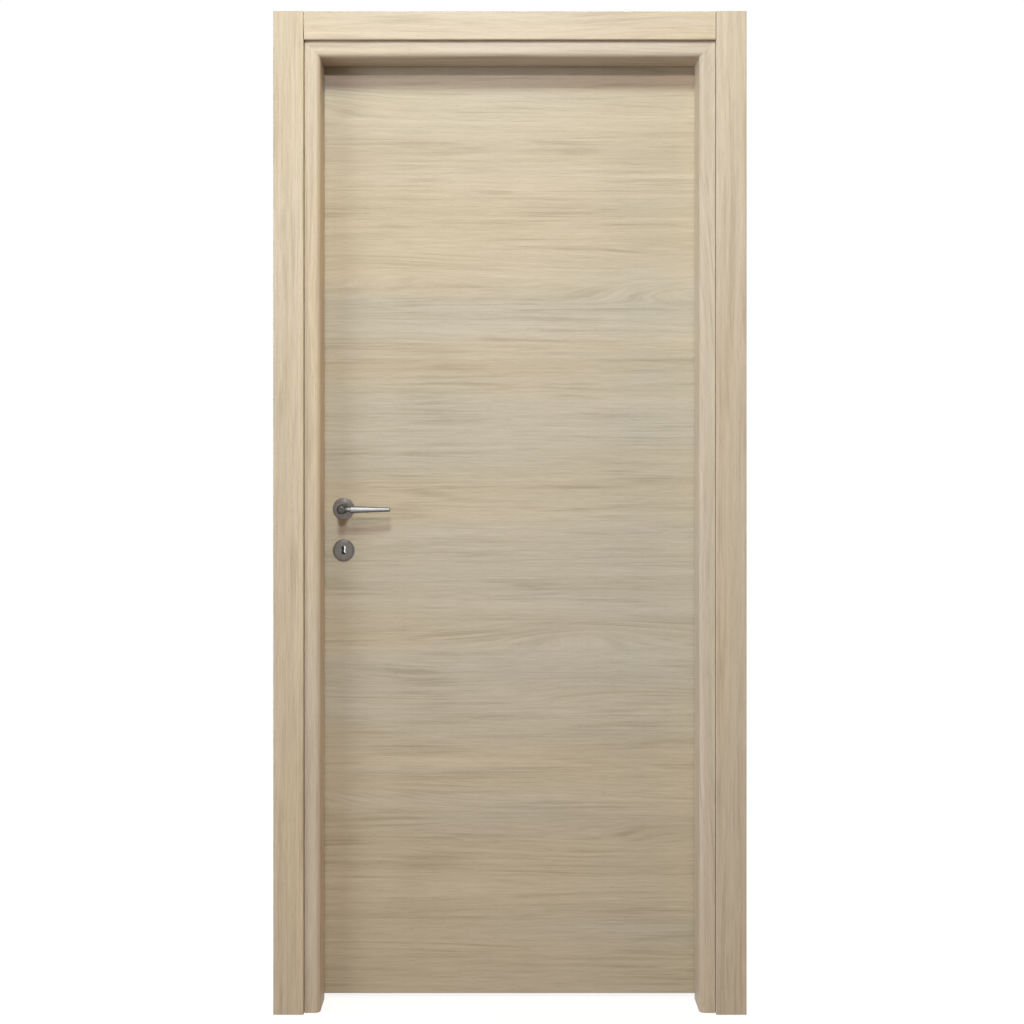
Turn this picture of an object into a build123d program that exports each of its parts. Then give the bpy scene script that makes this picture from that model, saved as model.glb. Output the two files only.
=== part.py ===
"""Hinged interior door: a flush leaf in a mitred lining with flat casings on both faces.

Millimetres. The origin is on the wall face of the hinge jamb, at floor level and half way
through the wall. +X runs away from the opening, +Y from the push side to the pull side, +Z up.
The push side, where the leaf sits back in the lining, faces -Y.
"""

import os

from build123d import *

# Clear opening between the lining's reveals
CLEAR_W = 800
CLEAR_H = 2015

# Lining: two jambs and a head of one profile, mitred at the corners
LINING_T = 47
LINING_D = 100
FRONT_ROUND = 11
EDGE_ROUND = 2

# Casings: flat boards with a tongue in a slot of the lining, which shows as a shadow gap along their edge
SIDE_CASING_W = 64
HEAD_CASING_W = 60
CASING_T = 9
CASING_INSET = 33.5
CASING_ROUND = 2.5
CASING_JOINT = 1.2
TONGUE_T = 4
TONGUE_L = 22
SLOT_SHADOW_GAP = 1
SLOT_SIDE_PLAY = 0.25
SLOT_END_PLAY = 3

# Leaf: skins on a timber frame, with a lip that covers the lining on three sides
BODY_T = 27
LIP_T = 13
LIP_W = 10
STOP_OVERLAP = 9
LEAF_FLOOR_GAP = 9
LEAF_EDGE_GAP = 6.5
LEAF_FACE_GAP = 5
LIP_GAP = 5
SKIN_T = 3
SKIN_ROUND = 0.8
LATCH_STILE_W = 95
HINGE_STILE_W = 50
TOP_RAIL_H = 60
BOTTOM_RAIL_H = 90

# Seal pressed into the lining's stop
SEAL_INSET = 4.5
SEAL_STEM_W = 3.6
SEAL_STEM_L = 7
SEAL_BULB_R = 4
SEAL_WALL = 1.2
SEAL_LEAF_GAP = 0.4
SEAL_PLAY = 0.2

# Screw-in barrel hinges, pin in the lower half
HINGE_END_GAP = 220
BARREL_R = 6.5
BARREL_H = 27
BARREL_PLAY = 0.3
HINGE_EDGE_GAP = 0.5
PIN_R = 3.5
PIN_L = 18
PIN_PLAY = 0.06
BARREL_ROUND = 3.5
JAMB_SHANK_R = 3.5
JAMB_SHANK_L = 50
LEAF_SHANK_R = 3
LEAF_SHANK_L = 48
LEAF_SHANK_TILT = 26
SHANK_PLAY = 0.1

# Mortise lock in the leaf's latch edge and its strike in the latch jamb
LOCK_MID_Z = 1014
LOCK_CENTRES = 90
BACKSET = 50
LOCK_SKIN_GAP = 0.2
FACEPLATE_W = 16
FACEPLATE_H = 220
FACEPLATE_T = 3
LOCK_CASE_W = 76
LOCK_CASE_H = 168
LOCK_CASE_T = 14
LATCH_W = 11
LATCH_H = 22
DEADBOLT_H = 26
BOLT_L = 30
BOLT_PLAY = 0.3
STRIKE_W = 17
STRIKE_H = 180
STRIKE_T = 2
STRIKE_POCKET_D = 14
STRIKE_HOLE_PLAY = 1.5

# Lever set: levers on a square spindle through round roses
ROSE_R = 23.5
ROSE_STEP_IN = 3.2
ROSE_STEP_H = 2.6
ROSE_STEP_ROUND = 1.1
LEVER_ROSE_STEPS = 3
KEY_ROSE_STEPS = 2
NECK_R = 10
NECK_PLAY = 0.3
NECK_L = 52
NECK_ROUND = 6
NECK_BACK_GAP = 1
ARM_OUT = 45
LINK_R = 4.8
GRIP_START = 19
GRIP_END = 104
GRIP_ROOT_H = 15.4
GRIP_ROOT_T = 11
GRIP_TIP_H = 9.2
GRIP_TIP_T = 7.4
GRIP_RETURN = 4
GRIP_TILT = 20
GRIP_ROOT_ROUND = 1.5
GRIP_TIP_ROUND = 2.5
SPINDLE_SIDE = 8
SPINDLE_SOCKET_L = 30
SPINDLE_BORE_R = 6.5
LEVER_BORE_R = 9.5

# Keyhole through the door
KEYHOLE_LOBE_R = 4.7
KEYHOLE_LOBE_RISE = 5.2
KEYHOLE_WAIST = 7.6
KEY_BORE_W = 14
KEY_BORE_H = 30

# Places that follow from the sizes above
X_HINGE_REVEAL = -LINING_T
X_LATCH_REVEAL = X_HINGE_REVEAL - CLEAR_W
X_MIDDLE = (X_HINGE_REVEAL + X_LATCH_REVEAL) / 2
Y_FRONT = -LINING_D / 2
Y_BACK = LINING_D / 2

REBATE_W = STOP_OVERLAP + LEAF_EDGE_GAP
REBATE_D = BODY_T + LEAF_FACE_GAP - LIP_GAP
Y_STOP = Y_BACK - REBATE_D

X_BODY_LATCH = X_LATCH_REVEAL - STOP_OVERLAP
X_BODY_HINGE = X_HINGE_REVEAL + STOP_OVERLAP
X_LIP_LATCH = X_BODY_LATCH - LIP_W
X_LIP_HINGE = X_BODY_HINGE + LIP_W
Y_LEAF_FRONT = Y_STOP + LEAF_FACE_GAP
Y_LIP = Y_BACK + LIP_GAP
Y_LEAF_BACK = Y_LIP + LIP_T
Z_BODY_TOP = CLEAR_H + STOP_OVERLAP
Z_LIP_TOP = Z_BODY_TOP + LIP_W
Y_CORE_FRONT = Y_LEAF_FRONT + SKIN_T
Y_CORE_BACK = Y_LEAF_BACK - SKIN_T
X_LATCH_STILE = X_BODY_LATCH + LATCH_STILE_W
X_HINGE_STILE = X_BODY_HINGE - HINGE_STILE_W

Z_CASING_TOP = CLEAR_H + CASING_INSET + HEAD_CASING_W

X_AXIS = X_LIP_HINGE + HINGE_EDGE_GAP + BARREL_R
Y_AXIS = Y_LEAF_BACK
HINGE_HEIGHTS = (
    LEAF_FLOOR_GAP + HINGE_END_GAP,
    (LEAF_FLOOR_GAP + Z_BODY_TOP) / 2,
    Z_BODY_TOP - HINGE_END_GAP,
)

X_LOCK = X_BODY_LATCH + BACKSET
Y_LOCK = Y_CORE_FRONT + LOCK_SKIN_GAP + FACEPLATE_W / 2
Z_LEVER = LOCK_MID_Z + LOCK_CENTRES / 2
Z_KEY = LOCK_MID_Z - LOCK_CENTRES / 2
X_LOCK_CASE = X_BODY_LATCH + FACEPLATE_T
Y_LEAF_MIDDLE = (Y_LEAF_FRONT + Y_LEAF_BACK) / 2
LEAF_MIRROR = Plane.XZ.offset(-Y_LEAF_MIDDLE)
WALL_MIRROR = Plane.XZ
SIDE_MIRROR = Plane.YZ.offset(X_MIDDLE)

LOW = (Align.MIN, Align.MIN)


def block(x0, x1, y0, y1, z0, z1):
    """A box between two corners."""
    middle = ((x0 + x1) / 2, (y0 + y1) / 2, (z0 + z1) / 2)
    return Pos(*middle) * Box(x1 - x0, y1 - y0, z1 - z0)


def rounded_at(sketch, corners, radius):
    """The sketch with the corners nearest the given points rounded."""
    picked = [sketch.vertices().sort_by_distance((x, y, 0))[0] for x, y in corners]
    return fillet(picked, radius)


def bar(profile, length, mitre_start=False, mitre_end=False):
    """A length of moulding along Z. The profile's X is its height above the opening's edge.

    A mitred end reaches past the length by the moulding's own height, at 45 degrees.
    """
    reach = profile.bounding_box().max.X
    low = -reach if mitre_start else 0
    high = length + reach if mitre_end else length
    solid = extrude(Pos(0, 0, low) * profile, high - low)
    for wanted, end, way in ((mitre_start, 0, -1), (mitre_end, length, 1)):
        if wanted:
            corner = Polyline(
                (0, end), (reach, end + way * reach), (0, end + way * reach), close=True
            )
            wedge = extrude(Plane.XZ * make_face(corner), LINING_D * 2, both=True)
            solid -= wedge
    return solid


def at_hinge_side(solid):
    """A moulding made by bar, stood at the hinge reveal."""
    return Pos(X_HINGE_REVEAL, 0, 0) * solid


def at_head(solid):
    """A moulding made by bar, laid over the opening from the hinge reveal to the latch reveal."""
    return Pos(X_HINGE_REVEAL, 0, CLEAR_H) * Rot(0, -90, 0) * solid


# Lining
def lining_profile():
    """Section of jambs and head: rounded front edge, rebate for the leaf, casing slots, seal groove."""
    section = Rectangle(LINING_T, LINING_D, align=(Align.MIN, Align.CENTER))
    section -= Pos(0, Y_STOP) * Rectangle(REBATE_W, REBATE_D, align=LOW)
    section = rounded_at(section, [(0, Y_FRONT)], FRONT_ROUND)
    section = rounded_at(section, [(0, Y_STOP), (REBATE_W, Y_BACK)], EDGE_ROUND)
    slot_w = SLOT_SHADOW_GAP + TONGUE_T + SLOT_SIDE_PLAY
    slot_x = CASING_INSET - SLOT_SHADOW_GAP
    slot_d = TONGUE_L + SLOT_END_PLAY
    for edge in (Y_FRONT, Y_BACK - slot_d):
        section -= Pos(slot_x, edge) * Rectangle(slot_w, slot_d, align=LOW)
    groove_w = SEAL_STEM_W + 2 * SEAL_PLAY
    groove_d = SEAL_STEM_L + SEAL_PLAY
    section -= Pos(SEAL_INSET, Y_STOP) * Rectangle(
        groove_w, groove_d, align=(Align.CENTER, Align.MAX)
    )
    return section


def strike_opening(height, play):
    """The two holes that take the latch and the deadbolt, as one tool that runs along X."""
    half_w = LATCH_W / 2 + play
    holes = []
    for z, tall in ((Z_LEVER, LATCH_H), (Z_KEY, DEADBOLT_H)):
        half_h = tall / 2 + play
        holes.append(
            block(-height, height, Y_LOCK - half_w, Y_LOCK + half_w, z - half_h, z + half_h)
        )
    return holes


def strike_blank(thickness, play=0):
    """A plate with round ends, lying on the YZ plane and growing towards -X."""
    outline = Pos(Y_LOCK, LOCK_MID_Z) * SlotOverall(
        STRIKE_H + 2 * play, STRIKE_W + 2 * play, rotation=90
    )
    return extrude(Plane.YZ * outline, -thickness)


def lining():
    profile = lining_profile()
    jamb = bar(profile, CLEAR_H, mitre_end=True)
    hinge_jamb = at_hinge_side(jamb)
    latch_jamb = mirror(hinge_jamb, about=SIDE_MIRROR)
    head = at_head(bar(profile, CLEAR_W, mitre_start=True, mitre_end=True))

    for height in HINGE_HEIGHTS:
        hinge_jamb -= jamb_shank(height, SHANK_PLAY)

    x_wall = X_LATCH_REVEAL - REBATE_W
    latch_jamb -= Pos(x_wall, 0, 0) * strike_blank(STRIKE_T, SHANK_PLAY)
    for hole in strike_opening(STRIKE_POCKET_D, STRIKE_HOLE_PLAY):
        latch_jamb -= Pos(x_wall, 0, 0) * hole

    plate = strike_blank(STRIKE_T)
    for hole in strike_opening(STRIKE_POCKET_D, STRIKE_HOLE_PLAY):
        plate -= hole
    return {
        "hinge_jamb": hinge_jamb,
        "latch_jamb": latch_jamb,
        "head_jamb": head,
        "strike_plate": Pos(x_wall, 0, 0) * plate,
    }


# Casings
def casing_plate(width):
    plate = Pos(CASING_INSET, Y_FRONT - CASING_T) * Rectangle(width, CASING_T, align=LOW)
    corners = [(CASING_INSET + w, Y_FRONT - CASING_T) for w in (0, width)]
    return rounded_at(plate, corners, CASING_ROUND)


def casing_tongue():
    return Pos(CASING_INSET, Y_FRONT) * Rectangle(TONGUE_T, TONGUE_L, align=LOW)


def casings():
    """Side casings run the full height, and the head casing fits between them."""
    side = bar(casing_plate(SIDE_CASING_W), Z_CASING_TOP)
    side += bar(casing_tongue(), CLEAR_H + CASING_INSET - SLOT_SIDE_PLAY)
    hinge_side = at_hinge_side(side)

    reach = CASING_INSET - CASING_JOINT
    run = CLEAR_W + 2 * reach
    over = bar(casing_plate(HEAD_CASING_W), run) + bar(casing_tongue(), run)
    head = at_head(Pos(0, 0, -reach) * over)

    front = {
        "hinge_casing": hinge_side,
        "latch_casing": mirror(hinge_side, about=SIDE_MIRROR),
        "head_casing": head,
    }
    pieces = {}
    for name, solid in front.items():
        pieces[f"front_{name}"] = solid
        pieces[f"back_{name}"] = mirror(solid, about=WALL_MIRROR)
    return pieces


# Seals
def seal_profile():
    """A stem in the groove and a hollow bulb that the leaf closes on."""
    rise = LEAF_FACE_GAP - SEAL_LEAF_GAP - SEAL_BULB_R
    bulb = Pos(SEAL_INSET, Y_STOP + rise) * (
        Circle(SEAL_BULB_R) - Circle(SEAL_BULB_R - SEAL_WALL)
    )
    bulb -= Pos(SEAL_INSET, Y_STOP) * Rectangle(
        4 * SEAL_BULB_R, 4 * SEAL_BULB_R, align=(Align.CENTER, Align.MAX)
    )
    foot = Pos(SEAL_INSET, Y_STOP) * Rectangle(
        2 * SEAL_BULB_R - SEAL_WALL, SEAL_WALL, align=(Align.CENTER, Align.MIN)
    )
    stem = Pos(SEAL_INSET, Y_STOP) * Rectangle(
        SEAL_STEM_W, SEAL_STEM_L, align=(Align.CENTER, Align.MAX)
    )
    return bulb + foot + stem


def seals():
    profile = seal_profile()
    hinge_side = at_hinge_side(bar(profile, CLEAR_H, mitre_end=True))
    return {
        "hinge_seal": hinge_side,
        "latch_seal": mirror(hinge_side, about=SIDE_MIRROR),
        "head_seal": at_head(bar(profile, CLEAR_W, mitre_start=True, mitre_end=True)),
    }


# Hinges
def jamb_shank(height, play=0):
    """The lower half's screw, straight into the jamb's back face."""
    middle = height - BARREL_PLAY / 2 - BARREL_H / 2
    along = Plane(origin=(X_AXIS, Y_AXIS, middle), z_dir=(0, -1, 0))
    return extrude(along * Circle(JAMB_SHANK_R + play), JAMB_SHANK_L + play)


def leaf_shank(height, play=0):
    """The upper half's screw, slanting into the edge of the leaf's lip."""
    middle = height + BARREL_PLAY / 2 + BARREL_H / 2
    slant = Vector(-1, 0, 0).rotate(Axis.Z, LEAF_SHANK_TILT)
    along = Plane(origin=(X_AXIS, Y_AXIS, middle), z_dir=slant)
    return extrude(along * Circle(LEAF_SHANK_R + play), LEAF_SHANK_L + play)


def barrel(up):
    """Half a barrel with a rounded end, from the joint plane at Z 0 upwards or downwards."""
    half = extrude(Circle(BARREL_R), BARREL_H)
    half = fillet(half.faces().sort_by(Axis.Z)[-1].edges(), BARREL_ROUND)
    return half if up else mirror(half, about=Plane.XY)


def hinges():
    pieces = {}
    for number, height in enumerate(HINGE_HEIGHTS, 1):
        lower = Pos(X_AXIS, Y_AXIS, height - BARREL_PLAY / 2) * (
            barrel(up=False) + extrude(Circle(PIN_R), PIN_L)
        )
        upper = Pos(X_AXIS, Y_AXIS, height + BARREL_PLAY / 2) * (
            barrel(up=True) - extrude(Circle(PIN_R + PIN_PLAY), PIN_L + BARREL_PLAY)
        )
        pin_room = Pos(X_AXIS, Y_AXIS, height) * Cylinder(BARREL_R - 1, PIN_L * 2)
        pieces[f"hinge_{number}_jamb_half"] = lower + jamb_shank(height)
        pieces[f"hinge_{number}_leaf_half"] = upper + (leaf_shank(height) - pin_room)
    return pieces


# Leaf
def keyhole(depth):
    """The keyhole's outline, two lobes and a waist, as a tool that runs through the leaf."""
    outline = Rectangle(KEYHOLE_WAIST, 2 * KEYHOLE_LOBE_RISE)
    for way in (-1, 1):
        outline += Pos(0, way * KEYHOLE_LOBE_RISE) * Circle(KEYHOLE_LOBE_R)
    place = Pos(X_LOCK, Y_LEAF_MIDDLE, Z_KEY)
    return place * extrude(Plane.XZ * outline, depth, both=True)


def lock_bores():
    """Holes through the leaf for the spindle and the key."""
    through = LIP_T + BODY_T
    lever = Pos(X_LOCK, Y_LEAF_MIDDLE, Z_LEVER) * extrude(
        Plane.XZ * Circle(LEVER_BORE_R), through, both=True
    )
    key = Pos(X_LOCK, Y_LEAF_MIDDLE, Z_KEY) * extrude(
        Plane.XZ * RectangleRounded(KEY_BORE_W, KEY_BORE_H, KEY_BORE_W / 2 - 0.5),
        through,
        both=True,
    )
    return lever + key


def faceplate_blank(play=0):
    outline = Pos(Y_LOCK, LOCK_MID_Z) * SlotOverall(
        FACEPLATE_H + 2 * play, FACEPLATE_W + 2 * play, rotation=90
    )
    return Pos(X_BODY_LATCH, 0, 0) * extrude(Plane.YZ * outline, FACEPLATE_T)


def lock_case_blank(play=0):
    half_t = LOCK_CASE_T / 2 + play
    half_h = LOCK_CASE_H / 2 + play
    return block(
        X_LOCK_CASE,
        X_LOCK_CASE + LOCK_CASE_W + play,
        Y_LOCK - half_t,
        Y_LOCK + half_t,
        LOCK_MID_Z - half_h,
        LOCK_MID_Z + half_h,
    )


def leaf_boards():
    bottom = LEAF_FLOOR_GAP
    front_skin = block(
        X_BODY_LATCH, X_BODY_HINGE, Y_LEAF_FRONT, Y_CORE_FRONT, bottom, Z_BODY_TOP
    )
    front_skin = fillet(front_skin.faces().sort_by(Axis.Y)[0].edges(), SKIN_ROUND)
    back_skin = block(X_LIP_LATCH, X_LIP_HINGE, Y_CORE_BACK, Y_LEAF_BACK, bottom, Z_LIP_TOP)
    back_skin = fillet(back_skin.faces().sort_by(Axis.Y)[-1].edges(), SKIN_ROUND)

    def framing(x0, x1, lip_x0, lip_x1, z0):
        body = block(x0, x1, Y_CORE_FRONT, Y_LIP, z0, Z_BODY_TOP)
        return body + block(lip_x0, lip_x1, Y_LIP, Y_CORE_BACK, z0, Z_LIP_TOP)

    latch_stile = framing(X_BODY_LATCH, X_LATCH_STILE, X_LIP_LATCH, X_LATCH_STILE, bottom)
    hinge_stile = framing(X_HINGE_STILE, X_BODY_HINGE, X_HINGE_STILE, X_LIP_HINGE, bottom)
    between = (X_LATCH_STILE, X_HINGE_STILE)
    top_rail = framing(*between, *between, Z_BODY_TOP - TOP_RAIL_H)
    bottom_rail = block(*between, Y_CORE_FRONT, Y_CORE_BACK, bottom, bottom + BOTTOM_RAIL_H)

    bores = lock_bores()
    latch_stile -= bores + faceplate_blank(SHANK_PLAY) + lock_case_blank(SHANK_PLAY)
    front_skin -= bores
    back_skin -= bores
    for height in HINGE_HEIGHTS:
        shank = leaf_shank(height, SHANK_PLAY)
        hinge_stile -= shank
        back_skin -= shank
    return {
        "leaf_front_skin": front_skin,
        "leaf_back_skin": back_skin,
        "leaf_latch_stile": latch_stile,
        "leaf_hinge_stile": hinge_stile,
        "leaf_top_rail": top_rail,
        "leaf_bottom_rail": bottom_rail,
    }


def lock():
    case = lock_case_blank()
    case -= Pos(X_LOCK, Y_LOCK, Z_LEVER) * extrude(
        Plane.XZ * Circle(SPINDLE_BORE_R), LOCK_CASE_T, both=True
    )
    case -= keyhole(LIP_T + BODY_T)
    faceplate = faceplate_blank()
    bolts = {}
    for name, z, tall in (("latch_bolt", Z_LEVER, LATCH_H), ("deadbolt", Z_KEY, DEADBOLT_H)):
        half_w = LATCH_W / 2
        half_h = tall / 2
        end = X_BODY_LATCH + BOLT_L
        bolt = block(X_BODY_LATCH, end, Y_LOCK - half_w, Y_LOCK + half_w, z - half_h, z + half_h)
        room = block(
            X_BODY_LATCH,
            end + BOLT_PLAY,
            Y_LOCK - half_w - BOLT_PLAY,
            Y_LOCK + half_w + BOLT_PLAY,
            z - half_h - BOLT_PLAY,
            z + half_h + BOLT_PLAY,
        )
        faceplate -= room
        case -= room
        bolts[name] = bolt
    return {"lock_case": case, "lock_faceplate": faceplate, **bolts}


# Furniture
def stepped_rose(steps):
    """A round plate on the leaf's front face, stepped inwards as it rises, along -Y from Y 0."""
    plate = Part()
    for step in range(steps):
        disc = extrude(Circle(ROSE_R - step * ROSE_STEP_IN), (step + 1) * ROSE_STEP_H)
        plate += fillet(disc.faces().sort_by(Axis.Z)[-1].edges(), ROSE_STEP_ROUND)
    return Rot(90, 0, 0) * plate


def roses():
    at_lever = Pos(X_LOCK, Y_LEAF_FRONT, Z_LEVER)
    neck_room = extrude(
        Plane.XZ * Circle(NECK_R + NECK_PLAY), 2 * LEVER_ROSE_STEPS * ROSE_STEP_H, both=True
    )
    lever_rose = at_lever * (stepped_rose(LEVER_ROSE_STEPS) - neck_room)
    key_rose = Pos(X_LOCK, Y_LEAF_FRONT, Z_KEY) * stepped_rose(KEY_ROSE_STEPS)
    key_rose -= keyhole(LIP_T + BODY_T)
    return {
        "front_lever_rose": lever_rose,
        "back_lever_rose": mirror(lever_rose, about=LEAF_MIRROR),
        "front_key_rose": key_rose,
        "back_key_rose": mirror(key_rose, about=LEAF_MIRROR),
    }


def lever_grip():
    """A tapered oval grip along +X, tipped so that its broad face looks up, with its tip drawn in."""
    sections = []
    for share in (0, 0.5, 1):
        x = GRIP_START + share * (GRIP_END - GRIP_START)
        tall = GRIP_ROOT_H + share * (GRIP_TIP_H - GRIP_ROOT_H)
        thick = GRIP_ROOT_T + share * (GRIP_TIP_T - GRIP_ROOT_T)
        outline = Plane.YZ * Ellipse(thick / 2, tall / 2)
        sections.append(Pos(x, GRIP_RETURN * share**2, 0) * Rot(-GRIP_TILT, 0, 0) * outline)
    grip = loft(sections)
    grip = fillet(grip.faces().sort_by(Axis.X)[0].edges(), GRIP_ROOT_ROUND)
    return fillet(grip.faces().sort_by(Axis.X)[-1].edges(), GRIP_TIP_ROUND)


def levers():
    """Each lever's neck turns in its rose, grips one end of the spindle and carries link and grip."""
    neck_run = NECK_L - NECK_BACK_GAP
    neck = Pos(0, 0, NECK_BACK_GAP) * extrude(Circle(NECK_R), neck_run)
    neck = fillet(neck.faces().sort_by(Axis.Z)[-1].edges(), NECK_ROUND)
    link = extrude(Plane.YZ * Circle(LINK_R), GRIP_START + GRIP_ROOT_T / 2)
    arm = Pos(0, -ARM_OUT, 0) * (link + lever_grip())
    lever = Pos(X_LOCK, Y_LEAF_FRONT, Z_LEVER) * (Rot(90, 0, 0) * neck + arm)

    half = SPINDLE_SIDE / 2
    spindle = block(
        X_LOCK - half,
        X_LOCK + half,
        Y_LEAF_FRONT - SPINDLE_SOCKET_L,
        Y_LEAF_BACK + SPINDLE_SOCKET_L,
        Z_LEVER - half,
        Z_LEVER + half,
    )
    lever -= spindle
    return {
        "front_lever": lever,
        "back_lever": mirror(lever, about=LEAF_MIRROR),
        "spindle": spindle,
    }


def build():
    pieces = {}
    for group in (lining, casings, seals, hinges, leaf_boards, lock, roses, levers):
        pieces.update(group())
    return pieces


os.makedirs("parts", exist_ok=True)
for node, solid in build().items():
    export_step(solid, f"parts/{node}.step")
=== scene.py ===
"""Looks of a hinged interior door: bleached oak print, satin nickel, seals, screws and a pale studio.

Metres, in the part's own frame: the push side faces -Y, +X runs from latch to hinges, +Z is up.
"""

import math
from collections import namedtuple

import bmesh
import bpy
from mathutils import Matrix, Vector


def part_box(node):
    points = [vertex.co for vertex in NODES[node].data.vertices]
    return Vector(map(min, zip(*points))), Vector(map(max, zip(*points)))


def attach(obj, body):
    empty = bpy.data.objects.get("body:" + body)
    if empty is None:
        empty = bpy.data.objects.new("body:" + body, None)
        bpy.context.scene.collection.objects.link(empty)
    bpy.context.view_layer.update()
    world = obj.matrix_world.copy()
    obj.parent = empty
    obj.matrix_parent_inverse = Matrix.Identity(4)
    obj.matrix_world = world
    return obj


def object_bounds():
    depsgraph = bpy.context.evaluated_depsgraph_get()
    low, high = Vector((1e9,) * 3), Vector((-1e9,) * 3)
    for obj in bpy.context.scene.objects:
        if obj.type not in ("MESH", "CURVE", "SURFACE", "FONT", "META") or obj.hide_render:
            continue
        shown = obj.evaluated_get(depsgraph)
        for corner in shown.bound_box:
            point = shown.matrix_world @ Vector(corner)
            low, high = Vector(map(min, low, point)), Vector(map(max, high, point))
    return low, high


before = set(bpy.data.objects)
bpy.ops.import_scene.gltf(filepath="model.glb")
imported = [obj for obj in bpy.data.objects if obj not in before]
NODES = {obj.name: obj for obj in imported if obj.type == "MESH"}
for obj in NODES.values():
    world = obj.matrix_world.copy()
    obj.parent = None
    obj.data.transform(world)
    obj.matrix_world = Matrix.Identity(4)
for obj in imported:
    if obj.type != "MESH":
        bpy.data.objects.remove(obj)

CAD_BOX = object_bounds()

# Places read from the frame
LINING_LOW, LINING_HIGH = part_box("head_jamb")
MIDDLE_X = (LINING_LOW.x + LINING_HIGH.x) / 2
FRONT_Y = LINING_LOW.y
TOP_Z = CAD_BOX[1].z
KEY_LOW, KEY_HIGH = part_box("front_key_rose")
KEY_X = (KEY_LOW.x + KEY_HIGH.x) / 2
KEY_Z = (KEY_LOW.z + KEY_HIGH.z) / 2

# Camera, level, with the picture shifted so that uprights stay parallel
LENS_MM = 46.2
SENSOR_MM = 36.0
CAMERA_AWAY = 2.769
CAMERA_LEFT = 0.028
CAMERA_HEIGHT = 1.205
CAMERA_SHIFT = (0.0151, -0.0692)

# Lamps: distance out from the wall's middle, distance left, height, width, watts, colour and whether
# metal mirrors them
Lamp = namedtuple("Lamp", "away left height width watts colour mirrored")
LAMPS = {
    "key_lamp": Lamp(2.85, 0.15, 3.95, 0.75, 87.0, (0.86, 1.0, 0.98), True),
    "fill_lamp": Lamp(2.85, 0.10, 2.74, 0.16, 28.0, (1.0, 0.90, 0.93), True),
    "cool_side_lamp": Lamp(1.90, 2.30, 1.60, 1.60, 27.0, (0.92, 0.97, 1.0), False),
    "cool_edge_lamp": Lamp(0.70, 3.00, 1.40, 0.80, 28.0, (0.62, 0.74, 1.0), False),
    "warm_edge_lamp": Lamp(0.70, -2.40, 3.70, 0.80, 29.0, (1.0, 0.62, 0.27), False),
    "back_key_lamp": Lamp(-2.60, -0.60, 3.40, 1.20, 80.0, (1.0, 1.0, 1.0), True),
    "back_side_lamp": Lamp(-2.00, 2.20, 1.20, 1.60, 36.0, (1.0, 1.0, 1.0), False),
}
AMBIENT_LIGHT = 0.33
AMBIENT_COLOUR = (1.0, 0.77, 0.74, 1)

# Floor: its own shade, the glow that turns it white to the eye, and where it turns into the backdrop
FLOOR_SIZE = 60.0
FLOOR_DROP = 0.0005
FLOOR_SHADE = (0.16, 0.135, 0.12, 1)
FLOOR_ROUGHNESS = 0.9
FLOOR_GLOW = 0.89
FLOOR_FADE = (0.9, 2.6)
WHITE = (1, 1, 1, 1)

# Directions, and those across the grain that carry the print on round the corners of a moulding
ALONG_X = (1, 0, 0)
ALONG_Z = (0, 0, 1)
UP = (0, 0, 1)
DOWN = (0, 0, -1)
LEFT = (-1, 0, 0)
RIGHT = (1, 0, 0)
FRONT = (0, -1, 0)
BACK = (0, 1, 0)
ROUND_HINGE_SIDE = (-1, 1, 0)
ROUND_LATCH_SIDE = (1, 1, 0)
ROUND_HEAD = (0, 1, -1)
ROUND_TOP_EDGE = (0, 1, 1)

# Bleached oak print, as linear colours, and how each group of pieces is tinted; the jamb, head and casing
# tints are lighter copies of the print, painted light for the brighter light on the frame, with a small
# shift of hue
OAK_WARM = (0.530, 0.438, 0.318, 1)
OAK_GREY = (0.506, 0.443, 0.352, 1)
OAK_DARK_LINE = (0.76, 0.74, 0.69, 1)
OAK_PALE_LINE = (1.19, 1.20, 1.22, 1)
LEAF_TINT = (1.0, 1.03, 1.015)
JAMB_PAINTED_LIGHT_TINT = (1.16, 1.155, 1.14)
HEAD_PAINTED_LIGHT_TINT = (1.10, 1.09, 1.08)
CASING_PAINTED_LIGHT_TINT = (1.085, 1.07, 1.015)
OAK_ROUGHNESS = 0.50
OAK_SPECULAR = 0.35

# Raw fibreboard, its flecks per metre, how much of it they take, and how squarely a bare face points
BOARD_CORE = (0.420, 0.320, 0.210, 1)
BOARD_FLECK = (0.300, 0.220, 0.135, 1)
BOARD_FLECKS = 340.0
FLECK_SHARE = (0.35, 0.7)
BARE_FACING = 0.9

# Noise runs from 0 to 1 about this middle
NOISE_MIDDLE = 0.5

# Layers of grain: repeats per metre along and across it, place in the noise, and the noise's own detail
Layer = namedtuple("Layer", "along across place detail roughness", defaults=(2.0, 0.5))
EYES = Layer(0.35, 3.6, 1)
ROLL = Layer(1.0, 7.5, 2, detail=1.0)
WANDER = Layer(3.2, 18.0, 3)
RINGS = Layer(2.8, 110.0, 4, detail=3.0, roughness=0.62)
FIBRES = Layer(16.0, 430.0, 5, detail=3.0, roughness=0.62)
BANDS = Layer(0.25, 15.0, 6)
PORES = Layer(60.0, 900.0, 7)
TONES = Layer(0.5, 5.0, 8, detail=3.0, roughness=0.55)
LINES = Layer(1.6, 70.0, 9, detail=1.0)
LINE_FADE = Layer(4.0, 30.0, 10)

# How strongly each layer shows, and the noise values between which it comes in
EYE_SHARE = (0.48, 0.64)
ROLL_STRAIGHT = 0.012
ROLL_IN_EYES = 0.220
WANDER_SHIFT = 0.010
RING_STRENGTH = 0.80
FIBRE_STRENGTH = 1.00
BAND_STRENGTH = 0.55
LINE_STRENGTH = 0.36
LINE_SHARE = (0.40, 0.66)
LINE_REACH = 0.09
PORE_STRENGTH = 0.45
PORE_SHARE = (0.58, 0.76)
PORE_DEPTH = 0.5
TONE_SHARE = (0.36, 0.64)
GREY_MIDDLE = 1.05
GREY_REACH = 0.75
GREY_STRENGTH = 0.10

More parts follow.
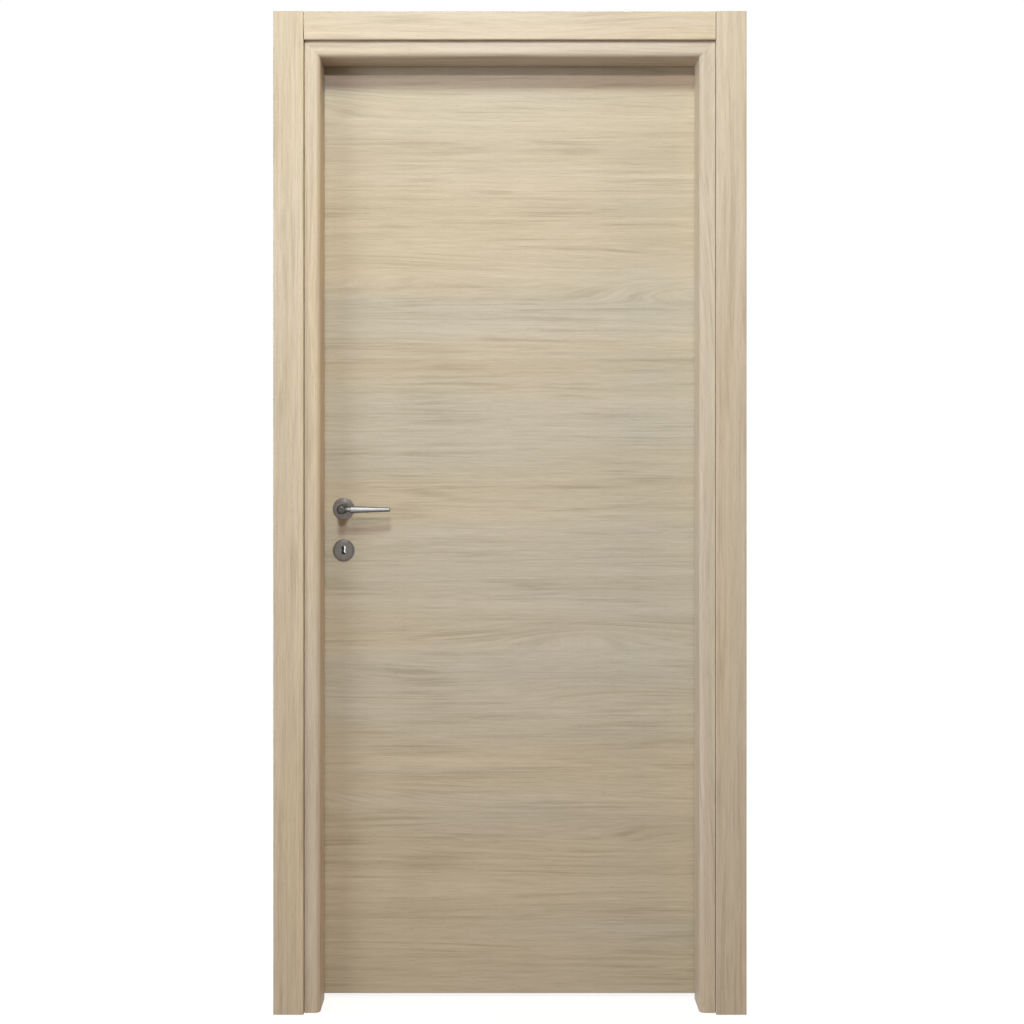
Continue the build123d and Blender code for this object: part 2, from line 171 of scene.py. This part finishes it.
# Wood pieces: tint, grain direction, direction across it, place in the noise, faces left bare, nodes,
# and whether the middle is greyer
Wood = namedtuple("Wood", "tint along across seed bare nodes grey_middle", defaults=(False,))
JAMB_BARE = (UP, DOWN)
FRONT_SIDE_BARE = (BACK, UP, DOWN)
FRONT_HEAD_BARE = (BACK, LEFT, RIGHT)
BACK_SIDE_BARE = (FRONT, UP, DOWN)
BACK_HEAD_BARE = (FRONT, LEFT, RIGHT)
STILES = ("leaf_latch_stile", "leaf_hinge_stile")
RAILS = ("leaf_top_rail", "leaf_bottom_rail")
WOODS = {
    "oak_hinge_jamb": Wood(JAMB_PAINTED_LIGHT_TINT, ALONG_Z, ROUND_HINGE_SIDE, 1.3, (RIGHT, *JAMB_BARE), ["hinge_jamb"]),
    "oak_latch_jamb": Wood(JAMB_PAINTED_LIGHT_TINT, ALONG_Z, ROUND_LATCH_SIDE, 14.9, (LEFT, *JAMB_BARE), ["latch_jamb"]),
    "oak_head_jamb": Wood(HEAD_PAINTED_LIGHT_TINT, ALONG_X, ROUND_HEAD, 28.2, (UP,), ["head_jamb"]),
    "oak_front_hinge": Wood(
        CASING_PAINTED_LIGHT_TINT, ALONG_Z, ROUND_HINGE_SIDE, 40.0, FRONT_SIDE_BARE, ["front_hinge_casing"]),
    "oak_front_latch": Wood(
        CASING_PAINTED_LIGHT_TINT, ALONG_Z, ROUND_LATCH_SIDE, 50.0, FRONT_SIDE_BARE, ["front_latch_casing"]),
    "oak_front_head": Wood(CASING_PAINTED_LIGHT_TINT, ALONG_X, ROUND_HEAD, 60.0, FRONT_HEAD_BARE, ["front_head_casing"]),
    "oak_back_hinge": Wood(
        CASING_PAINTED_LIGHT_TINT, ALONG_Z, ROUND_HINGE_SIDE, 80.0, BACK_SIDE_BARE, ["back_hinge_casing"]),
    "oak_back_latch": Wood(
        CASING_PAINTED_LIGHT_TINT, ALONG_Z, ROUND_LATCH_SIDE, 90.0, BACK_SIDE_BARE, ["back_latch_casing"]),
    "oak_back_head": Wood(CASING_PAINTED_LIGHT_TINT, ALONG_X, ROUND_HEAD, 100.0, BACK_HEAD_BARE, ["back_head_casing"]),
    "oak_leaf_front": Wood(LEAF_TINT, ALONG_X, ALONG_Z, 120.0, (DOWN,), ["leaf_front_skin"], True),
    "oak_leaf_back": Wood(LEAF_TINT, ALONG_X, ALONG_Z, 140.0, (DOWN,), ["leaf_back_skin"], True),
    "oak_edge": Wood(LEAF_TINT, ALONG_Z, ROUND_LATCH_SIDE, 160.0, (DOWN,), STILES),
    "oak_top_edge": Wood(LEAF_TINT, ALONG_X, ROUND_TOP_EDGE, 180.0, (DOWN,), RAILS),
}

# Metal colours, and the duller share of each in its clouds. The nickels are darker than real nickel, a
# painted reflection of dark surroundings; the lever's copy is darker still as painted shade, the roses'
# lighter as painted reflection, and the grip's paler copy is a painted highlight
NICKEL = (0.185, 0.166, 0.150, 1)
ROSE_NICKEL_LIT = (0.222, 0.199, 0.180, 1)
LEVER_NICKEL_SHADED = (0.100, 0.094, 0.088, 1)
SHEEN_NICKEL = (0.285, 0.274, 0.263, 1)
STEEL = (0.420, 0.415, 0.400, 1)
DARK_STEEL = (0.018, 0.017, 0.016, 1)
DULLER = (0.84, 0.84, 0.84)
METAL_CLOUDS = 90.0
CLOUD_SHARE = (0.3, 0.7)
FINE_DETAIL = 3.0

# The keyhole's walls, which face sideways, are painted black as shade within this reach of its middle
KEYHOLE_REACH = 0.0108
KEYHOLE_FACING = 0.5

# Painted highlight on the grip, a paler nickel: from where along it, and on which faces by how far they
# point up
SHEEN_FROM = (0.010, 0.015)
SHEEN_FACES = (-0.55, -0.10)

# Metal pieces: colour, roughness, repeats of the brushing per metre along each axis, nodes, and whether
# they have a keyhole with painted shade or a grip with a painted highlight
Metal = namedtuple("Metal", "colour roughness brushed nodes keyhole grip", defaults=(False, False))
HINGE_HALVES = [f"hinge_{number}_{half}_half" for number in (1, 2, 3) for half in ("jamb", "leaf")]
LEVERS = ("front_lever", "back_lever")
LEVER_ROSES = ("front_lever_rose", "back_lever_rose")
KEY_ROSES = ("front_key_rose", "back_key_rose")
LOCK_PLATES = ("lock_faceplate", "latch_bolt", "deadbolt", "strike_plate", "spindle")
METALS = {
    "nickel_lever": Metal(LEVER_NICKEL_SHADED, 0.49, (60.0, 900.0, 900.0), LEVERS, grip=True),
    "nickel_rose": Metal(ROSE_NICKEL_LIT, 0.38, (900.0, 900.0, 120.0), LEVER_ROSES),
    "nickel_key_rose": Metal(NICKEL, 0.36, (900.0, 900.0, 120.0), KEY_ROSES, keyhole=True),
    "nickel_hinge": Metal(NICKEL, 0.30, (900.0, 900.0, 80.0), HINGE_HALVES),
    "steel_plate": Metal(STEEL, 0.34, (900.0, 900.0, 60.0), LOCK_PLATES),
    "steel_dark": Metal(DARK_STEEL, 0.55, (700.0, 700.0, 700.0), ["lock_case"]),
}
SCREW_STEEL = Metal(STEEL, 0.30, (500.0, 500.0, 500.0), [])

# Seals
SEAL_NODES = ("hinge_seal", "latch_seal", "head_seal")
SEAL_BEIGE = (0.280, 0.215, 0.140, 1)
SEAL_CLOUDS = 60.0
SEAL_ROUGHNESS = 0.62

# Surface relief: height and strength, and how far roughness swings with it
OAK_BUMP = (0.0002, 0.22)
METAL_BUMP = (0.00004, 0.3)
SEAL_BUMP = (0.0002, 0.2)
ROUGHNESS_SWING = 0.14

# Screws: a low crowned head with a cross recess, or a hexagon in the grub screws under the levers
SCREW_SIDES = 24
SCREW_R = 0.0036
SCREW_RISE = 0.0006
SCREW_CROWN = 0.82
SCREW_SLOT_D = 0.0005
SCREW_FROM_END = 0.012
CROSS_LENGTH = 0.58
CROSS_HALF_WIDTH = 0.15
CROSS_ARMS = 4
HEX_SIDES = 6
GRUB_R = 0.0021
GRUB_HEX = 0.6
GRUB_FROM_ROSE = 0.008
GRUB_LIFT = SCREW_RISE / 3
GRUB_SPIN = 0.3


class Finish:
    """A material's node tree, with short calls for the nodes that the finishes share."""

    # Sockets of a colour mix, which share their names with other kinds
    MIX_SHARE, MIX_FIRST, MIX_SECOND = 0, 6, 7
    MIX_RESULT = 2

    def __init__(self, name):
        self.material = bpy.data.materials.new(name)
        self.material.use_nodes = True
        self.tree = self.material.node_tree
        self.shader = self.tree.nodes["Principled BSDF"]
        self.coordinates = self.tree.nodes.new("ShaderNodeTexCoord")

    def put(self, socket, value):
        if isinstance(value, bpy.types.NodeSocket):
            self.tree.links.new(value, socket)
        else:
            socket.default_value = value

    def set(self, name, value):
        self.put(self.shader.inputs[name], value)

    def node(self, kind, *values, **settings):
        made = self.tree.nodes.new(kind)
        for key, value in settings.items():
            setattr(made, key, value)
        for socket, value in zip(made.inputs, values):
            self.put(socket, value)
        return made

    def math(self, operation, *values):
        return self.node("ShaderNodeMath", *values, operation=operation).outputs[0]

    def length(self, first, second):
        squares = [self.math("MULTIPLY", part, part) for part in (first, second)]
        return self.math("SQRT", self.math("ADD", *squares))

    def off(self, value, middle):
        return self.math("ABSOLUTE", self.math("SUBTRACT", value, middle))

    def add(self, total, value, strength):
        """The total with a noise value added by strength, where the noise's middle adds nothing."""
        swing = self.math("SUBTRACT", value, NOISE_MIDDLE)
        return self.math("MULTIPLY_ADD", swing, strength, total)

    def mix(self, share, first, second, blend="MIX"):
        made = self.node("ShaderNodeMix", data_type="RGBA", blend_type=blend)
        self.put(made.inputs[self.MIX_SHARE], share)
        self.put(made.inputs[self.MIX_FIRST], first)
        self.put(made.inputs[self.MIX_SECOND], second)
        return made.outputs[self.MIX_RESULT]

    def ramp(self, value, low, high, start=0.0, end=1.0):
        made = self.node("ShaderNodeMapRange", value, low, high, start, end)
        made.interpolation_type = "SMOOTHSTEP"
        return made.outputs[0]

    def place(self, source="Object"):
        """Position in the part's frame, or the surface's normal there, as three numbers."""
        return self.node("ShaderNodeSeparateXYZ", self.coordinates.outputs[source]).outputs

    def along(self, weights, source="Object"):
        """Position or normal summed by weights for X, Y and Z."""
        total = 0.0
        for part, weight in zip(self.place(source), weights):
            if weight:
                total = self.math("MULTIPLY_ADD", part, weight, total)
        return total

    def noise(self, values, rates, shift=0.0, detail=2.0, roughness=0.5):
        """Noise over two or three values, each with its own repeats per metre."""
        scaled = [self.math("MULTIPLY", value, rate) for value, rate in zip(values, rates)]
        if len(scaled) == 2:
            scaled.append(shift)
        point = self.node("ShaderNodeCombineXYZ", *scaled).outputs[0]
        made = self.node("ShaderNodeTexNoise", point)
        made.inputs["Scale"].default_value = 1.0
        made.inputs["Detail"].default_value = detail
        made.inputs["Roughness"].default_value = roughness
        return made.outputs[0]

    def vary_roughness(self, value, middle):
        low = middle - ROUGHNESS_SWING / 2
        self.set("Roughness", self.math("MULTIPLY_ADD", value, ROUGHNESS_SWING, low))

    def bump(self, height, distance, strength):
        made = self.node("ShaderNodeBump")
        made.inputs["Strength"].default_value = strength
        made.inputs["Distance"].default_value = distance
        self.put(made.inputs["Height"], height)
        self.set("Normal", made.outputs[0])


def tinted(colour, tint):
    return tuple(part * share for part, share in zip(colour, tint)) + (1,)


def bare_board(finish, colour, faces):
    """The colour, with raw fibreboard on the faces that point in the given directions."""
    bare = 0.0
    for direction in faces:
        pointing = finish.math("GREATER_THAN", finish.along(direction, "Normal"), BARE_FACING)
        bare = finish.math("MAXIMUM", bare, pointing)
    fleck = finish.noise(finish.place(), (BOARD_FLECKS,) * 3)
    core = finish.mix(finish.ramp(fleck, *FLECK_SHARE), BOARD_CORE, BOARD_FLECK)
    return finish.mix(bare, colour, core)


def oak(name, wood):
    """Oak print with its grain along one direction, and bare board where no print covers."""
    finish = Finish(name)
    run = finish.along(wood.along)
    side = finish.along(wood.across)

    def layer(kind, across=side):
        rates = (kind.along, kind.across)
        return finish.noise((run, across), rates, wood.seed + kind.place, kind.detail, kind.roughness)

    # Growth rings are contours of a rolling field, and where it rolls more they close into long eyes
    eyes = finish.ramp(layer(EYES), *EYE_SHARE)
    roll_by = finish.math("MULTIPLY_ADD", eyes, ROLL_IN_EYES, ROLL_STRAIGHT)
    ring = finish.add(side, layer(ROLL), roll_by)
    ring = finish.add(ring, layer(WANDER), WANDER_SHIFT)
    rings = layer(RINGS, ring)
    fibres = layer(FIBRES, ring)
    off_line = finish.off(layer(LINES, ring), NOISE_MIDDLE)
    line = finish.ramp(off_line, 0.0, LINE_REACH, 1.0, 0.0)
    lines = finish.math("MULTIPLY", line, finish.ramp(layer(LINE_FADE), *LINE_SHARE))
    pores = finish.ramp(layer(PORES), *PORE_SHARE)

    shade = finish.add(NOISE_MIDDLE, rings, RING_STRENGTH)
    shade = finish.add(shade, fibres, FIBRE_STRENGTH)
    shade = finish.add(shade, layer(BANDS), BAND_STRENGTH)
    shade = finish.math("MULTIPLY_ADD", lines, -LINE_STRENGTH, shade)
    shade = finish.math("MULTIPLY_ADD", pores, -PORE_STRENGTH, shade)

    tone = layer(TONES)
    if wood.grey_middle:
        off_middle = finish.off(side, GREY_MIDDLE)
        greyer = finish.ramp(off_middle, 0.0, GREY_REACH, GREY_STRENGTH, -GREY_STRENGTH)
        tone = finish.math("ADD", tone, greyer)
    grey = finish.ramp(tone, *TONE_SHARE)
    # The frame pieces' tints lighten the print here as painted light
    base = finish.mix(grey, tinted(OAK_WARM, wood.tint), tinted(OAK_GREY, wood.tint))
    colour = finish.mix(1.0, base, finish.mix(shade, OAK_DARK_LINE, OAK_PALE_LINE), "MULTIPLY")

    finish.set("Base Color", bare_board(finish, colour, wood.bare))
    finish.vary_roughness(fibres, OAK_ROUGHNESS)
    finish.set("Specular IOR Level", OAK_SPECULAR)
    finish.bump(finish.math("MULTIPLY_ADD", pores, -PORE_DEPTH, fibres), *OAK_BUMP)
    return finish.material


def metal(name, make):
    """Satin metal, brushed finely where it repeats often, with a painted highlight on a grip and painted
    shade inside a keyhole.
    """
    finish = Finish(name)
    place = finish.place()
    x, _, z = place
    off_x = finish.math("SUBTRACT", x, KEY_X)
    grain = finish.noise(place, make.brushed, detail=FINE_DETAIL)
    bright = finish.ramp(finish.noise(place, (METAL_CLOUDS,) * 3), *CLOUD_SHARE)
    shade = finish.mix(bright, tinted(make.colour, DULLER), make.colour)
    # Painted highlight: the grip's upward faces past the neck take a paler nickel
    if make.grip:
        sheen = finish.mix(bright, tinted(SHEEN_NICKEL, DULLER), SHEEN_NICKEL)
        past_neck = finish.ramp(off_x, *SHEEN_FROM)
        upward_faces = finish.ramp(finish.along(UP, "Normal"), *SHEEN_FACES)
        shade = finish.mix(finish.math("MULTIPLY", past_neck, upward_faces), shade, sheen)
    # Painted shade: the keyhole's sideways walls near its middle are near black
    if make.keyhole:
        off_z = finish.math("SUBTRACT", z, KEY_Z)
        near = finish.math("LESS_THAN", finish.length(off_x, off_z), KEYHOLE_REACH)
        squarely = finish.math("ABSOLUTE", finish.along(BACK, "Normal"))
        wall = finish.math("LESS_THAN", squarely, KEYHOLE_FACING)
        shade = finish.mix(finish.math("MULTIPLY", near, wall), shade, DARK_STEEL)
    finish.set("Base Color", shade)
    finish.set("Metallic", 1.0)
    finish.vary_roughness(grain, make.roughness)
    finish.bump(grain, *METAL_BUMP)
    return finish.material


def seal_rubber():
    finish = Finish("seal_rubber")
    cloud = finish.noise(finish.place(), (SEAL_CLOUDS,) * 3, detail=FINE_DETAIL)
    finish.set("Base Color", finish.mix(cloud, tinted(SEAL_BEIGE, DULLER), SEAL_BEIGE))
    finish.set("Roughness", SEAL_ROUGHNESS)
    finish.bump(cloud, *SEAL_BUMP)
    return finish.material


def dress(material, nodes):
    for node in nodes:
        data = NODES[node].data
        data.materials.clear()
        data.materials.append(material)


def dress_all():
    for name, wood in WOODS.items():
        dress(oak(name, wood), wood.nodes)
    for name, make in METALS.items():
        dress(metal(name, make), make.nodes)
    dress(seal_rubber(), SEAL_NODES)


def ring_points(sides, radius):
    turns = [2 * math.pi * number / sides for number in range(sides)]
    return [(radius * math.cos(turn), radius * math.sin(turn)) for turn in turns]


def cross_points(radius):
    """Outline of a cross recess, one arm after the other."""
    long, half = CROSS_LENGTH * radius, CROSS_HALF_WIDTH * radius
    arm = [(half, half), (long, half), (long, -half)]
    points = []
    for number in range(CROSS_ARMS):
        turn = -2 * math.pi * number / CROSS_ARMS
        cos, sin = math.cos(turn), math.sin(turn)
        points += [(x * cos - y * sin, x * sin + y * cos) for x, y in arm]
    return points


def add_screw(build, at, radius, recess):
    """A low screw head with a recess, facing local +Z at the given placement."""

    def loop(points, height):
        verts = [build.verts.new(at @ Vector((x, y, height))) for x, y in points]
        edges = [build.edges.new(pair) for pair in zip(verts, verts[1:] + verts[:1])]
        return verts, edges

    def skirt(upper, lower):
        count = len(upper)
        for number in range(count):
            after = (number + 1) % count
            build.faces.new((upper[number], lower[number], lower[after], upper[after]))

    rim, _ = loop(ring_points(SCREW_SIDES, radius), 0.0)
    crown, crown_edges = loop(ring_points(SCREW_SIDES, SCREW_CROWN * radius), SCREW_RISE)
    mouth, mouth_edges = loop(recess, SCREW_RISE)
    floor, _ = loop(recess, SCREW_RISE - SCREW_SLOT_D)
    skirt(crown, rim)
    skirt(floor, mouth)
    build.faces.new(floor)
    bmesh.ops.triangle_fill(build, edges=crown_edges + mouth_edges, use_beauty=True)


def screw_piece(name, body, material, places, radius, recess):
    build = bmesh.new()
    for at in places:
        add_screw(build, at, radius, recess)
    bmesh.ops.recalc_face_normals(build, faces=build.faces)
    mesh = bpy.data.meshes.new(name)
    build.to_mesh(mesh)
    build.free()
    mesh.materials.append(material)
    piece = bpy.data.objects.new(name, mesh)
    bpy.context.scene.collection.objects.link(piece)
    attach(piece, body)


def facing(place, outward, spin):
    """A placement whose +Z points outwards, turned by spin so that recesses don't line up."""
    turn = Vector(outward).to_track_quat("Z", "Y").to_matrix().to_4x4()
    return Matrix.Translation(place) @ turn @ Matrix.Rotation(spin, 4, "Z")


def plate_places(plate, outward):
    """Placements of the two screws near the ends of a lock plate."""
    low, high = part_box(plate)
    face_x = low.x if outward == LEFT else high.x
    middle_y = (low.y + high.y) / 2
    ends = (low.z + SCREW_FROM_END, high.z - SCREW_FROM_END)
    return [facing((face_x, middle_y, z), outward, spin=z) for z in ends]


def grub_places():
    """Placements of the grub screw under the neck of each lever."""
    places = []
    for face, outward in (("front", -1), ("back", 1)):
        low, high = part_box(f"{face}_lever_rose")
        lever_low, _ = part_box(f"{face}_lever")
        edge = low.y if outward < 0 else high.y
        place = ((low.x + high.x) / 2, edge + outward * GRUB_FROM_ROSE, lever_low.z + GRUB_LIFT)
        places.append(facing(place, DOWN, GRUB_SPIN))
    return places


def make_screws():
    steel = metal("steel_screw", SCREW_STEEL)
    cross = cross_points(SCREW_R)
    hexagon = ring_points(HEX_SIDES, GRUB_HEX * GRUB_R)
    faceplate = plate_places("lock_faceplate", LEFT)
    strike = plate_places("strike_plate", RIGHT)
    screw_piece("faceplate_screws", "leaf", steel, faceplate, SCREW_R, cross)
    screw_piece("strike_screws", "frame", steel, strike, SCREW_R, cross)
    screw_piece("lever_grub_screws", "lever_set", steel, grub_places(), GRUB_R, hexagon)


def seen_directly(tree):
    """1 for rays from the eye, off metal and through glass, which see the backdrop as white."""
    path = tree.nodes.new("ShaderNodeLightPath")
    total = path.outputs["Is Camera Ray"]
    for kind in ("Is Glossy Ray", "Is Transmission Ray"):
        either = tree.nodes.new("ShaderNodeMath")
        either.operation = "MAXIMUM"
        tree.links.new(total, either.inputs[0])
        tree.links.new(path.outputs[kind], either.inputs[1])
        total = either.outputs[0]
    return total


def make_floor():
    """A pale floor that takes the part's shadow near it and turns into the white backdrop."""
    half = FLOOR_SIZE / 2
    mesh = bpy.data.meshes.new("floor")
    corners = [(-half, -half, 0), (half, -half, 0), (half, half, 0), (-half, half, 0)]
    mesh.from_pydata(corners, [], [(0, 1, 2, 3)])
    floor = bpy.data.objects.new("floor", mesh)
    floor.location = (MIDDLE_X, 0, -FLOOR_DROP)
    bpy.context.scene.collection.objects.link(floor)

    finish = Finish("floor_white")
    finish.set("Base Color", FLOOR_SHADE)
    finish.set("Roughness", FLOOR_ROUGHNESS)
    finish.set("Specular IOR Level", 0.0)
    x, y, _ = finish.place()
    far = finish.ramp(finish.length(x, y), *FLOOR_FADE)
    seen = seen_directly(finish.tree)
    glow = finish.node("ShaderNodeEmission")
    finish.put(glow.inputs["Strength"], finish.math("MULTIPLY", seen, FLOOR_GLOW))
    lit = finish.node("ShaderNodeAddShader", finish.shader.outputs[0], glow.outputs[0])
    white = finish.node("ShaderNodeEmission")
    share = finish.math("MULTIPLY", far, seen)
    both = finish.node("ShaderNodeMixShader", share, lit.outputs[0], white.outputs[0])
    finish.put(finish.tree.nodes["Material Output"].inputs[0], both.outputs[0])
    mesh.materials.append(finish.material)


def make_world():
    """Faint warm light from all round, and a white backdrop for what sees it directly."""
    world = bpy.data.worlds.new("studio")
    bpy.context.scene.world = world
    world.use_nodes = True
    tree = world.node_tree
    ambient = tree.nodes["Background"]
    ambient.inputs["Color"].default_value = AMBIENT_COLOUR
    ambient.inputs["Strength"].default_value = AMBIENT_LIGHT
    white = tree.nodes.new("ShaderNodeBackground")
    white.inputs["Color"].default_value = WHITE
    both = tree.nodes.new("ShaderNodeMixShader")
    tree.links.new(seen_directly(tree), both.inputs[0])
    tree.links.new(ambient.outputs[0], both.inputs[1])
    tree.links.new(white.outputs[0], both.inputs[2])
    tree.links.new(both.outputs[0], tree.nodes["World Output"].inputs[0])


def make_lamps():
    """Round lamps that all face the middle of the door."""
    target = Vector((MIDDLE_X, 0, TOP_Z / 2))
    for name, lamp in LAMPS.items():
        data = bpy.data.lights.new(name, "AREA")
        data.shape = "DISK"
        data.size = lamp.width
        data.energy = lamp.watts
        data.color = lamp.colour
        light = bpy.data.objects.new(name, data)
        light.location = (MIDDLE_X - lamp.left, -lamp.away, lamp.height)
        light.visible_glossy = lamp.mirrored
        light.rotation_mode = "QUATERNION"
        light.rotation_quaternion = (target - light.location).to_track_quat("-Z", "Y")
        bpy.context.scene.collection.objects.link(light)


def make_camera():
    data = bpy.data.cameras.new("camera")
    data.lens = LENS_MM
    data.sensor_width = SENSOR_MM
    data.shift_x, data.shift_y = CAMERA_SHIFT
    camera = bpy.data.objects.new("camera", data)
    camera.location = (MIDDLE_X - CAMERA_LEFT, FRONT_Y - CAMERA_AWAY, CAMERA_HEIGHT)
    camera.rotation_euler = (math.pi / 2, 0, 0)
    bpy.context.scene.collection.objects.link(camera)
    bpy.context.scene.camera = camera


dress_all()
make_screws()
make_floor()
make_world()
make_lamps()
make_camera()
bpy.context.scene.view_settings.view_transform = "Standard"
